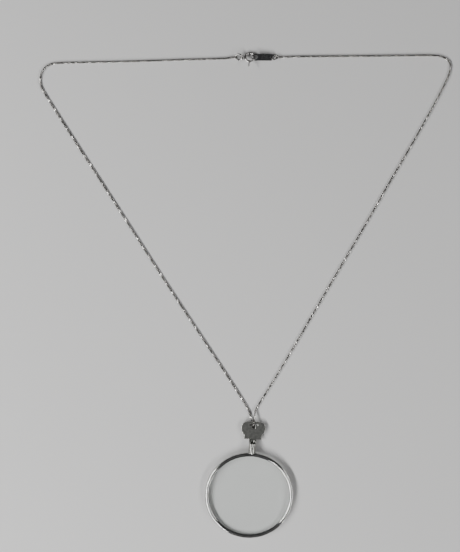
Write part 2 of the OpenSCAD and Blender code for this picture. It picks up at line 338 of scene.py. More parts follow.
def collar(
    outline: Array, centre: Sequence[float], reach: Callable[[Array], Array], edge: float, inner: int,
    corners: Sequence[float] = (),
) -> Array:
    """Grid of points of a flat plate, between a hole and the outline round it.

    Each point of the outline is joined by a straight line to the hole's edge, towards the hole's centre.

    Args:
        outline: Rows of X and Y, closed.
        centre: Middle of the hole.
        reach: The distance from the middle to the hole's edge, for an array of angles.
        edge: Radius of the rounding that the edges get.
        inner: How many parts each line is divided into between the roundings.
        corners: Angles in degrees of the hole's corners, which each get a line of their own.

    Returns:
        The grid of X and Y.
    """
    middle = np.array(centre, float)
    arm = outline - middle
    angle = np.arctan2(arm[:, 1], arm[:, 0])
    for corner in np.radians(corners):
        nearest = np.argmin(np.abs(np.angle(np.exp(1j * (angle - corner)))))
        angle[nearest] = corner
    hole = middle + reach(angle)[:, None] * towards(angle)
    width = np.linalg.norm(outline - hole, axis=1)
    share = across(width, edge, inner) / width[:, None]
    return hole[None] + share.T[:, :, None] * (outline - hole)[None]


def thick_sheet(
    sheet: Form, thickness: float, edge: float, worn: float, inner: Callable[[Array], Array]
) -> Form:
    """A sheet of metal with rounded edges, from its middle surface.

    Both faces stand off the middle surface along its normals. With d the distance from the nearest
    open edge, no more than the rounding's radius e, they stand off by t / 2 - e + sqrt(e^2 - (e - d)^2),
    where t is the thickness. Walls along the open edges join them.

    Args:
        sheet: The middle surface.
        thickness: Thickness of the sheet.
        edge: Radius of the rounding.
        worn: Distance from the edges at which the wear has faded out.
        inner: The direction towards the sheet's inner face, for an array of points.

    Returns:
        The closed surface.
    """
    points, index = np.unique(np.round(sheet.points, SAME_DIGITS) + 0.0, axis=0, return_inverse=True)
    faces = index.reshape(-1)[sheet.faces]
    corner = points[faces]
    square = np.cross(corner[:, 2] - corner[:, 0], corner[:, 3] - corner[:, 1])
    turned = (square * inner(corner.mean(axis=1))).sum(axis=1) < 0
    faces[turned] = faces[turned][:, ::-1]
    square[turned] *= -1
    normal = np.zeros_like(points)
    for k in range(4):
        np.add.at(normal, faces[:, k], square)
    normal = unit(normal)
    sides = np.stack([faces, np.roll(faces, -1, axis=1)], axis=-1).reshape(-1, 2)
    sides = sides[sides[:, 0] != sides[:, 1]]
    code = sides[:, 0] * len(points) + sides[:, 1]
    open_sides = sides[~np.isin(code, sides[:, 1] * len(points) + sides[:, 0])]
    first, along = points[open_sides[:, 0]], points[open_sides[:, 1]] - points[open_sides[:, 0]]
    off = points[:, None] - first[None]
    share = np.clip((off * along).sum(axis=-1) / (along**2).sum(axis=-1), 0, 1)
    distance = np.linalg.norm(off - share[..., None] * along, axis=-1).min(axis=1)
    near = edge - np.minimum(distance, edge)
    stand = (thickness / 2 - edge + np.sqrt(edge**2 - near**2))[:, None] * normal
    low = faces[:, ::-1] + len(points)
    a, b = open_sides[:, 0], open_sides[:, 1]
    walls = np.stack([b, a, a + len(points), b + len(points)], axis=1)
    wear = np.clip(1 - distance / worn, 0, 1) ** WEAR_FADE
    both = np.vstack([points + stand, points - stand])
    return Form(both, np.vstack([faces, low, walls]), np.tile(wear, 2))


class Signal:
    """A value in a shader, which can be used in an ordinary expression."""

    def __init__(self, recipe: Recipe, socket: bpy.types.NodeSocket) -> None:
        self.recipe = recipe
        self.socket = socket

    def _math(self, operation: str, first: Number, second: Number) -> Signal:
        """A Math node on two values."""
        return self.recipe.signal("ShaderNodeMath", {"operation": operation}, {0: first, 1: second})

    def __add__(self, other: Number) -> Signal:
        """This value plus the other."""
        return self._math("ADD", self, other)

    __radd__ = __add__

    def __sub__(self, other: Number) -> Signal:
        """This value less the other."""
        return self._math("SUBTRACT", self, other)

    def __rsub__(self, other: Number) -> Signal:
        """The other value less this one."""
        return self._math("SUBTRACT", other, self)

    def __mul__(self, other: Number) -> Signal:
        """This value times the other."""
        return self._math("MULTIPLY", self, other)

    def higher(self, other: Number) -> Signal:
        """The higher of two values."""
        return self._math("MAXIMUM", self, other)


Number = Union[Signal, float]
Tint = Union[Signal, tuple]
Settings = Optional[dict]


class Recipe:
    """The node tree of one material."""

    def __init__(self, name: str) -> None:
        self.material = bpy.data.materials.new(name)
        self.material.use_nodes = True
        self.tree = self.material.node_tree
        self.tree.nodes.clear()

    def node(self, kind: str, settings: Settings = None, sockets: Settings = None) -> bpy.types.Node:
        """Adds a node.

        Args:
            kind: The node's type.
            settings: Its settings by name.
            sockets: The values or links of its sockets, by name or number.

        Returns:
            The new node.
        """
        made = self.tree.nodes.new(kind)
        for name, value in (settings or {}).items():
            setattr(made, name, value)
        for key, value in (sockets or {}).items():
            if isinstance(value, Signal):
                self.tree.links.new(value.socket, made.inputs[key])
            else:
                made.inputs[key].default_value = value
        return made

    def signal(
        self, kind: str, settings: Settings = None, sockets: Settings = None, output: Union[int, str] = 0
    ) -> Signal:
        """Adds a node and gives one of its outputs as a value."""
        return Signal(self, self.node(kind, settings, sockets).outputs[output])

    def place(self) -> Signal:
        """Where a point of the piece is, in millimetres."""
        metres = self.signal("ShaderNodeTexCoord", output="Object")
        return self.signal("ShaderNodeVectorMath", {"operation": "SCALE"}, {0: metres, "Scale": 1 / MM})

    def noise(self, where: Signal, size: float, detail: float = 2.0, warp: float = 0.0) -> Signal:
        """Soft blotches about size across, from 0 to 1."""
        return self.signal(
            "ShaderNodeTexNoise",
            {"noise_dimensions": "3D"},
            {"Vector": where, "Scale": 1 / size, "Detail": detail, "Distortion": warp},
        )

    def remap(self, value: Signal, low: float, high: float) -> Signal:
        """A smooth step of a value, from 0 at the low limit to 1 at the high one."""
        return self.signal(
            "ShaderNodeMapRange",
            {"interpolation_type": "SMOOTHSTEP"},
            {"Value": value, "From Min": low, "From Max": high},
        )

    def mix(self, share: Number, first: Tint, second: Tint) -> Signal:
        """A colour between two others."""
        sockets = {0: share, 6: first, 7: second}
        return self.signal("ShaderNodeMix", {"data_type": "RGBA"}, sockets, output=2)

    def hairlines(
        self, where: Signal, turn: float, length: float, width: float, cut: float, edge: float
    ) -> Signal:
        """Fine straight scratches in one direction, from 0 to 1.

        Args:
            where: The point.
            turn: The direction of the scratches about Z, in degrees.
            length: Their length.
            width: Their width.
            cut: The level of the noise above which a scratch shows.
            edge: How far above that level it has its full depth.

        Returns:
            The depth of the scratches.
        """
        drawn = self.signal(
            "ShaderNodeMapping",
            {"vector_type": "TEXTURE"},
            {"Vector": where, "Rotation": (0.0, 0.0, math.radians(turn)), "Scale": (length, width, width)},
        )
        return self.remap(self.noise(drawn, 1.0, detail=0.0), cut, cut + edge)

    def wear(self) -> Signal:
        """How worn a point of the piece is, from 0 to 1."""
        return self.signal("ShaderNodeAttribute", {"attribute_name": "wear"}, output="Fac")

    def raised(self, height: Signal, depth: float) -> Signal:
        """The normal of a surface that stands up by depth millimetres where height is 1."""
        sockets = {"Height": height, "Strength": 1.0, "Distance": depth * MM}
        return self.signal("ShaderNodeBump", None, sockets)

    def finish(self, shader: bpy.types.Node) -> bpy.types.Material:
        """Ends the tree with a shader."""
        output = self.node("ShaderNodeOutputMaterial")
        self.tree.links.new(shader.outputs[0], output.inputs["Surface"])
        return self.material


def rgba(colour: Colour) -> tuple[float, float, float, float]:
    """The colour, quite opaque."""
    return (*colour, 1.0)


@dataclass(frozen=True)
class MetalFinish:
    """A bare metal: bright where it is rubbed, darker where it is tarnished, with fine scratches."""

    name: str
    bright: Colour
    dull: Colour
    roughness: float
    haze: float
    cloud: float
    scratch_length: float = 0.6
    scratch_width: float = 0.04
    scratch_cut: float = 0.66
    scratch_edge: float = 0.08
    scratch_depth: float = 0.0012
    scratch_tone: float = 0.25
    scratch_haze: float = 0.06
    scratch_turns: tuple[float, ...] = (24, -38, 81)
    grain: float = 0.12
    grain_depth: float = 0.0015
    rubbed: float = 0.0
    rubbed_polish: float = 0.08
    cloud_limits: tuple[float, float] = (0.35, 0.68)
    cloud_share: float = 0.6
    tone_limits: tuple[float, float] = (0.15, 0.95)

    def scratches(self, recipe: Recipe, where: Signal) -> Signal:
        """The scratches in all their directions, from 0 to 1."""
        size = (self.scratch_length, self.scratch_width, self.scratch_cut, self.scratch_edge)
        lines = recipe.hairlines(where, self.scratch_turns[0], *size)
        for turn in self.scratch_turns[1:]:
            lines = lines.higher(recipe.hairlines(where, turn, *size))
        return lines

    def material(self) -> bpy.types.Material:
        """The metal as a material."""
        recipe = Recipe(self.name)
        where = recipe.place()
        cloud = recipe.remap(recipe.noise(where, self.cloud, detail=4.0), *self.cloud_limits)
        speck = recipe.noise(where, self.grain, detail=3.0)
        lines = self.scratches(recipe, where)
        worn = recipe.wear() * self.rubbed
        blotches = cloud * self.cloud_share + speck * (1 - self.cloud_share)
        shown = blotches + lines * self.scratch_tone + worn
        bright = recipe.remap(shown, *self.tone_limits)
        tone = recipe.mix(bright, rgba(self.dull), rgba(self.bright))
        matt = (1 - cloud) * self.haze + lines * self.scratch_haze
        rough = self.roughness + matt - worn * self.rubbed_polish
        relief = speck * (self.grain_depth / self.scratch_depth) - lines
        normal = recipe.raised(relief, self.scratch_depth)
        sockets = {"Base Color": tone, "Metallic": 1.0, "Roughness": rough, "Normal": normal}
        return recipe.finish(recipe.node("ShaderNodeBsdfPrincipled", None, sockets))


@dataclass(frozen=True)
class GlassFinish:
    """Clear ground glass with a trace of smears."""

    name: str = "lens_glass"
    tint: Colour = (0.985, 0.995, 0.99)
    index: float = 1.52
    shadow_tint: Colour = (0.93, 0.94, 0.935)
    smear: float = 9.0
    smear_detail: float = 5.0
    smear_warp: float = 0.8
    smear_limits: tuple[float, float] = (0.52, 0.75)
    smear_roughness: float = 0.035

    def material(self) -> bpy.types.Material:
        """The glass as a material, whose shadow is light."""
        recipe = Recipe(self.name)
        blotches = recipe.noise(recipe.place(), self.smear, self.smear_detail, self.smear_warp)
        smears = recipe.remap(blotches, *self.smear_limits)
        rough = smears * self.smear_roughness
        sockets = {"Base Color": rgba(self.tint), "Roughness": rough, "IOR": self.index}
        sockets["Transmission Weight"] = 1.0
        glass = recipe.signal("ShaderNodeBsdfPrincipled", None, sockets)
        clear = recipe.signal("ShaderNodeBsdfTransparent", None, {"Color": rgba(self.shadow_tint)})
        shadow = recipe.signal("ShaderNodeLightPath", output="Is Shadow Ray")
        spread = recipe.signal("ShaderNodeLightPath", output="Is Diffuse Ray")
        sockets = {0: shadow.higher(spread), 1: glass, 2: clear}
        return recipe.finish(recipe.node("ShaderNodeMixShader", None, sockets))


@dataclass(frozen=True)
class FloorFinish:
    """A pale matt floor."""

    name: str = "pale_floor"
    tone: Colour = (0.72, 0.716, 0.708)
    patch: float = 60.0
    patch_tone: float = 0.985
    roughness: float = 0.75

    def material(self) -> bpy.types.Material:
        """The floor as a material."""
        recipe = Recipe(self.name)
        patches = recipe.noise(recipe.place(), self.patch)
        faint = tuple(self.patch_tone * part for part in self.tone)
        tone = recipe.mix(patches, rgba(self.tone), rgba(faint))
        sockets = {"Base Color": tone, "Roughness": self.roughness}
        return recipe.finish(recipe.node("ShaderNodeBsdfPrincipled", None, sockets))


RIM_METAL = MetalFinish(
    "polished_rim", (0.66, 0.655, 0.64), (0.5, 0.495, 0.485), roughness=0.09, haze=0.05, cloud=3.0,
    scratch_length=2.2, scratch_width=0.05, scratch_cut=0.68, scratch_depth=0.0007, grain=0.4,
    grain_depth=0.0004,
)
KEY_METAL = MetalFinish(
    "old_key_steel", (0.5, 0.5, 0.475), (0.335, 0.34, 0.32), roughness=0.28, haze=0.06, cloud=1.6,
    scratch_length=2.6, scratch_width=0.045, scratch_cut=0.69, scratch_depth=0.0015, scratch_tone=0.2,
    scratch_turns=(84, 93, 38), grain=0.35, grain_depth=0.009, rubbed=0.5,
)
RING_METAL = MetalFinish(
    "jump_ring_silver", (0.5, 0.49, 0.475), (0.3, 0.295, 0.285), roughness=0.15, haze=0.08, cloud=1.5
)
CHAIN_METAL = MetalFinish(
    "chain_silver", (0.62, 0.605, 0.585), (0.38, 0.37, 0.355), roughness=0.17, haze=0.06, cloud=5.0
)
CLASP_METAL = MetalFinish(
    "dark_clasp_metal", (0.7, 0.685, 0.665), (0.4, 0.39, 0.38), roughness=0.2, haze=0.1, cloud=1.3,
    scratch_length=0.8, scratch_depth=0.0016, rubbed=0.3,
)
PLATE_METAL = MetalFinish(
    "dark_plate_metal", (0.2, 0.2, 0.2), (0.085, 0.085, 0.088), roughness=0.26, haze=0.1, cloud=2.0,
    scratch_length=1.6, scratch_width=0.05, scratch_cut=0.65, scratch_depth=0.0022, grain=0.14,
    grain_depth=0.002, rubbed=0.5,
)


def link_object(name: str, data: bpy.types.ID) -> bpy.types.Object:
    """Puts a mesh, light or camera into the scene as an object, at the origin."""
    thing = bpy.data.objects.new(name, data)
    bpy.context.scene.collection.objects.link(thing)
    return thing


def make_object(name: str, form: Form, material: bpy.types.Material) -> bpy.types.Object:
    """Puts a surface into the scene as an object, with doubled points welded and faces outward.

    Args:
        name: Name of the object.
        form: The surface, in millimetres.
        material: What it is made of.

    Returns:
        The object, at the origin.
    """
    mesh = bpy.data.meshes.new(name)
    mesh.from_pydata((form.points * MM).tolist(), [], form.faces.tolist())
    worn = mesh.attributes.new("wear", "FLOAT", "POINT")
    worn.data.foreach_set("value", form.worn().astype(np.float32))
    shape = bmesh.new()
    shape.from_mesh(mesh)
    bmesh.ops.remove_doubles(shape, verts=shape.verts, dist=WELD)
    bmesh.ops.recalc_face_normals(shape, faces=shape.faces)
    shape.to_mesh(mesh)
    shape.free()
    mesh.polygons.foreach_set("use_smooth", np.ones(len(mesh.polygons), dtype=bool))
    mesh.materials.append(material)
    return link_object(name, mesh)


def thicken(piece: bpy.types.Object, thickness: float) -> None:
    """Gives a sheet its thickness, half on each side."""
    wall = piece.modifiers.new("thickness", "SOLIDIFY")
    wall.thickness = thickness * MM
    wall.offset = 0.0
    wall.use_even_offset = True


def round_edges(piece: bpy.types.Object, width: float, segments: int = 2, angle: float = 40.0) -> None:
    """Rounds a piece's edges that are sharper than the angle and keeps its flat faces flat."""
    edge = piece.modifiers.new("rounded_edges", "BEVEL")
    edge.width = width * MM
    edge.segments = segments
    edge.limit_method = "ANGLE"
    edge.angle_limit = math.radians(angle)
    edge.use_clamp_overlap = True
    edge.harden_normals = True


def mark_sharp(piece: bpy.types.Object, angle: float) -> None:
    """Keeps the edges sharp at which a piece's faces meet at more than the angle."""
    piece.data.set_sharp_from_angle(angle=math.radians(angle))


def add_piece(
    name: str, form: Form, material: bpy.types.Material, node: str,
    body: Body = Body.NECKLACE, sharp: Optional[float] = None,
) -> bpy.types.Object:
    """Makes a piece that rides on its body and stands for its node, and logs it.

    Args:
        name: Name of the piece.
        form: Its surface, where it lies.
        material: What it is made of.
        node: The node of the frame that it stands for.
        body: The body that it rides on.
        sharp: The angle above which its edges stay sharp, or None to leave them smooth.

    Returns:
        The piece.
    """
    piece = make_object(name, form, material)
    if sharp is not None:
        mark_sharp(piece, sharp)
    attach(piece, body.value)
    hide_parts(node)
    LOG.info("%s: %d faces, stands for %s", name, len(piece.data.polygons), node)
    return piece


@dataclass
class Magnifier:
    """The lens in its wire rim, whose post goes into the key's barrel."""

    pose: Pose
    lens_r: float = 20.5
    lens_edge: float = 0.9
    lens_bulge: float = 2.0
    chamfer: float = 0.06
    wire_r: float = 1.0
    rim_mid_r: float = 21.0
    lip: float = 0.05
    overlap: float = 0.3
    post_r: float = 1.0
    post_end: float = 25.6
    post_edge: float = 0.12
    back_rings: int = 28
    front_rings: int = 36
    lens_steps: int = 192
    wire_step: float = 7.5
    rim_steps: int = 256

    def face_height(self, r: Array) -> Array:
        """Height of the lens's curved front: the top of a sphere through its edge and its middle."""
        face_r = (self.lens_r**2 + self.lens_bulge**2) / (2 * self.lens_bulge)
        return self.lens_edge / 2 + self.lens_bulge - face_r + np.sqrt(face_r**2 - r**2)

    def lens_form(self) -> Form:
        """The lens: a flat back, a ground edge with narrow chamfers, and a curved front."""
        half, cut = self.lens_edge / 2, self.chamfer
        back_r = np.linspace(0, self.lens_r - cut, self.back_rings)
        back = np.stack([back_r, np.full_like(back_r, -half)], axis=1)
        edge = np.array([[self.lens_r, cut - half], [self.lens_r, half - cut]])
        front_r = np.linspace(self.lens_r - cut, 0, self.front_rings)
        front = np.stack([front_r, self.face_height(front_r)], axis=1)
        return revolved(np.vstack([back, edge, front]), self.lens_steps, loop=False)

    def rim_form(self) -> Form:
        """The rim: round wire with a groove for the lens's edge turned into its inner side."""
        low = -self.lens_edge / 2 - self.lip
        groove_r = self.lens_r + self.lip
        high = float(self.face_height(np.array(groove_r))) + self.lip
        inner_z = float(self.face_height(np.array(self.lens_r - self.overlap))) + self.lip
        start = math.degrees(math.atan2(low, -math.sqrt(self.wire_r**2 - low**2))) % 360 - 360
        end = math.degrees(math.atan2(inner_z, -math.sqrt(self.wire_r**2 - inner_z**2)))
        wire = arc((self.rim_mid_r, 0), self.wire_r, start, end, self.wire_step)
        profile = np.vstack([wire, [[groove_r, high], [groove_r, low]]])
        return revolved(profile, self.rim_steps, loop=True)

    def post_form(self) -> Form:
        """The post, along Y from inside the rim's wire."""
        return rod(self.post_r, self.rim_mid_r, self.post_end, self.post_edge).placed(Pose(turn=90))

    def build(self) -> None:
        """Makes the lens and the rim."""
        lens = self.lens_form().placed(self.pose)
        add_piece("lens_glass", lens, GlassFinish().material(), "lens", sharp=SHARP_TURNED)
        rim = (self.rim_form() + self.post_form()).placed(self.pose)
        add_piece("wire_rim", rim, RIM_METAL.material(), "lens_rim", sharp=SHARP_TURNED)


@dataclass
class KeyBow:
    """The head of an old key: one sheet, flat in its bow and rolled into a barrel below it."""

    pose: Pose
    sheet_t: float = 0.65
    barrel_r: float = 1.7
    rim_mid_r: float = 21.0
    rim_wire_r: float = 1.0
    rim_room: float = 0.05
    least_curve: float = 1e-6
    mouth_y: float = 26.9
    bow_y: float = 28.5
    flank_h: float = 0.25
    seam_w: float = 0.25
    seam_turn: float = 17.0
    bow_w: float = 11.9
    bow_h: float = 8.8
    shoulder_r: float = 3.0
    cheek_r: float = 4.6
    side_h: float = 0.4
    neck_w: float = 8.6
    notch_r: float = 0.8
    foot_w: float = 9.3
    foot_tip_h: float = 0.7
    slot_top: float = 8.2
    slot_w: float = 1.6
    slot_len: float = 2.6
    cross_len: float = 4.0
    cross_h: float = 0.75
    cross_drop: float = 0.7
    barrel_y: float = 21.8
    join_y: float = 2.6
    edge_r: float = 0.2
    worn_width: float = 0.5
    notch_rows: int = 11
    tab_rows: int = 11
    tab_columns: int = 14
    foot_columns: int = 8
    left_columns: int = 6
    right_columns: int = 8
    cheek_rows: int = 15
    shoulder_rows: int = 19
    top_step: float = 0.24
    wall_rows: int = 10

    def sheet_r(self) -> float:
        """Radius of the rolled sheet, to the middle of its wall."""
        return self.barrel_r - self.sheet_t / 2

    def tab_half(self) -> float:
        """Half the tab's width where it runs into the bow."""
        inner = self.barrel_r - self.sheet_t
        return math.sqrt(self.barrel_r**2 - inner**2)

    def half_width(self, y: Array) -> Array:
        """Half the bow's width at heights above its lower edge.

        The foot slopes out to its tip. The cheek and the shoulder are circles, with a straight side
        between them. The wider of foot and cheek counts, less a round notch above the foot.
        """
        tip = self.foot_w / 2
        slope = tip - (1 - np.minimum(y / self.foot_tip_h, 1)) * self.foot_tip_h / 2
        foot = np.where(y <= self.foot_tip_h + 2 * self.notch_r, slope, 0)
        below = np.maximum(self.cheek_y() - y, 0)
        cheek = self.bow_w / 2 - self.cheek_r + np.sqrt(np.maximum(self.cheek_r**2 - below**2, 0))
        above = np.maximum(y - (self.bow_h - self.shoulder_r), 0)
        drawn_in = self.shoulder_r - np.sqrt(np.maximum(self.shoulder_r**2 - above**2, 0))
        off = y - self.foot_tip_h - self.notch_r
        depth = np.sqrt(np.maximum(self.notch_r**2 - off**2, 0))
        cut = np.where(depth > 0, self.neck_w / 2 + self.notch_r - depth, self.bow_w)
        return np.minimum(np.maximum(foot, cheek) - drawn_in, cut)

    def cheek_y(self) -> float:
        """Height above the bow's lower edge at which its cheeks are widest."""
        return self.bow_h - self.shoulder_r - self.side_h

    def foot_rows(self) -> Array:
        """Heights of the foot's rows, with one at each corner of its outline."""
        tip = self.foot_w / 2
        middle = self.foot_tip_h + self.notch_r
        reach = math.sqrt(self.notch_r**2 - (self.neck_w / 2 + self.notch_r - tip) ** 2)
        cusp = self.cheek_y() - math.sqrt(self.cheek_r**2 - (tip - self.bow_w / 2 + self.cheek_r) ** 2)
        turn = np.linspace(-1, 1, self.notch_rows) * math.asin(reach / self.notch_r)
        low = across(np.array(self.foot_tip_h), self.edge_r, 2)
        return np.concatenate([low, middle + self.notch_r * np.sin(turn), [cusp, self.join_y]])

    def tab_places(self, half: Array) -> Array:
        """Distances from the tab's middle line to its columns, where it is twice half wide."""
        return across(2 * half, self.edge_r, self.tab_columns) - np.asarray(half)[..., None]

    def foot_grid(self) -> Array:
        """X and Y of the foot's points: the tab's columns and more at both sides, with the feet's edges.

        The lowest row has its columns where the tab's are. Further up the inner ones spread with the
        foot's half width, and those of the rounding keep their distance from its edge.
        """
        rows = self.foot_rows()
        half = self.half_width(rows)
        tab = self.tab_places(np.array(self.tab_half()))
        side = across(half[:1] - tab[-1], self.edge_r, self.foot_columns)[0] + tab[-1]
        edges = len(across(np.array(1.0), self.edge_r, 1)) // 2
        spread = (half[:, None] - self.edge_r) / (half[0] - self.edge_r)
        right = side[1:] * spread
        right[:, -edges:] = half[:, None] - (half[0] - side[-edges:])
        x = np.hstack([-right[:, ::-1], tab * spread, right])
        return np.dstack([x, rows[:, None] + 0 * x])

    def upper_outline(self) -> Array:
        """Outline of the bow above the foot's last row, from that row's right end round to its left."""
        rise = np.linspace(self.join_y, self.cheek_y(), self.cheek_rows + 1)[1:]
        shoulder_y = self.bow_h - self.shoulder_r
        turn = np.radians(np.linspace(0, 90, self.shoulder_rows))
        side_y = [shoulder_y - self.side_h / 2]
        y = np.concatenate([rise, side_y, shoulder_y + self.shoulder_r * np.sin(turn)])
        right = np.stack([self.half_width(y), y], axis=1)
        top = line((self.bow_w / 2 - self.shoulder_r, self.bow_h), (0, self.bow_h), self.top_step)
        half = chained(right, top)
        return chained(half, (half * [-1, 1])[::-1])

    def cross_reach(self, angle: Array) -> Array:
        """Distance from the middle of the level slot to the edge of the cross, along each angle.

        A ray leaves a rectangle where it meets the nearer of its two sides ahead. The cross is two
        rectangles, so its edge is the further of the two distances.
        """
        c, s = np.cos(angle), np.sin(angle)
        above = self.cross_drop
        below = self.slot_len - self.cross_drop

        def leave(half_w: float, up: float, down: float) -> Array:
            """Distance to the edge of one rectangle."""
            sideways = half_w / np.maximum(np.abs(c), TINY)
            upright = np.where(s > 0, up, down) / np.maximum(np.abs(s), TINY)
            return np.minimum(sideways, upright)

        upright_slot = leave(self.slot_w / 2, above, below)
        level_slot = leave(self.cross_len / 2, self.cross_h / 2, self.cross_h / 2)
        return np.maximum(upright_slot, level_slot)

    def cross_corners(self) -> list[float]:
        """Angles of the cross's twelve corners, from the middle of its level slot."""
        w, h, arm = self.slot_w / 2, self.cross_h / 2, self.cross_len / 2
        up, down = self.cross_drop, self.slot_len - self.cross_drop
        corners = [(w, up), (w, h), (arm, h), (arm, -h), (w, -h), (w, -down)]
        angles = [math.degrees(math.atan2(y, x)) for x, y in corners]
        return angles + [180 - angle for angle in angles]

    def laid(self, grid: Array) -> Array:
        """Points of the bow's plane, put at the height of the flat sheet's middle surface."""
        height = np.full(grid.shape[:2], -self.sheet_r())
        return np.dstack([grid[..., 0], grid[..., 1] + self.bow_y, height])

    def bow_form(self) -> Form:
        """The flat bow: rows across the foot, and a collar of points between the cross and the rest."""
        foot = self.foot_grid()
        outline = chained(self.upper_outline(), foot[-1])
        centre = (0.0, self.slot_top - self.cross_drop)
        plate = collar(outline, centre, self.cross_reach, self.edge_r, self.wall_rows, self.cross_corners())
        return grid_form(self.laid(foot)) + grid_form(self.laid(plate), loop=True)

    def tab_form(self) -> Form:
        """The tab: the sheet flattens from the barrel's curve at the mouth to the bow.

        At a share t of the way, the sheet's curve is (1 - t^3)^2 of the barrel's, and its half width
        shrinks so that its sides come down in a slope that steepens towards the bow.
        """
        radius = self.sheet_r()
        t = np.linspace(0, 1, self.tab_rows)[:, None]
        curve = np.maximum((1 - t**3) ** 2, self.least_curve) / radius
        top = self.flank_h + t**2 * (self.sheet_t - self.barrel_r - self.flank_h)
        slope = radius * np.arccos(np.clip(-top / self.barrel_r, -1, 1))
        last = slope[-1, 0]
        half = slope * (1 + (self.tab_half() / last - 1) * t**2)
        s = self.tab_places(half[:, 0])
        x = np.sin(curve * s) / curve
        z = (1 - np.cos(curve * s)) / curve - radius
        y = self.mouth_y + t * (self.bow_y - self.mouth_y) + 0 * s
        return grid_form(np.dstack([x, y, z]))

    def barrel_form(self) -> Form:
        """The barrel: the sheet rolled round Y from one edge of the seam to the other.

        The angle is measured from straight down. The lower end reaches a little way over the rim and
        follows its round wire.
        """
        radius = self.sheet_r()
        side = math.acos(np.clip(-self.flank_h / self.barrel_r, -1, 1))
        half_seam = self.seam_w / 2
        seam = radius * math.radians(self.seam_turn)
        first, last = seam + half_seam - math.pi * radius, seam - half_seam + math.pi * radius
        tab = self.tab_places(np.array(radius * side))
        left = first + across(np.array(tab[0] - first), self.edge_r, self.left_columns)
        right = tab[-1] + across(np.array(last - tab[-1]), self.edge_r, self.right_columns)
        angle = np.concatenate([left[:-1], tab, right[1:]]) / radius
        x, z = radius * np.sin(angle), -radius * np.cos(angle)
        room = self.rim_wire_r + self.rim_room
        cope = self.rim_mid_r + np.sqrt(np.maximum(room**2 - z**2, 0)) - x**2 / (2 * self.rim_mid_r)
        start = np.maximum(cope, self.barrel_y)
        y = start + across(self.mouth_y - start, self.edge_r, self.wall_rows).T
        return grid_form(np.dstack([x + 0 * y, y, z + 0 * y]))

    def to_axis(self, points: Array) -> Array:
        """The direction from each point to the barrel's axis, where the sheet's inner face is."""
        return points * [-1, 0, -1]

    def build(self) -> None:
        """Makes the key head."""
        sheet = self.bow_form() + self.tab_form() + self.barrel_form()
        head = thick_sheet(sheet, self.sheet_t, self.edge_r, self.worn_width, self.to_axis)
        metal = KEY_METAL.material()
        add_piece("key_head", head.placed(self.pose), metal, "key_bow", sharp=SHARP_SHEET)


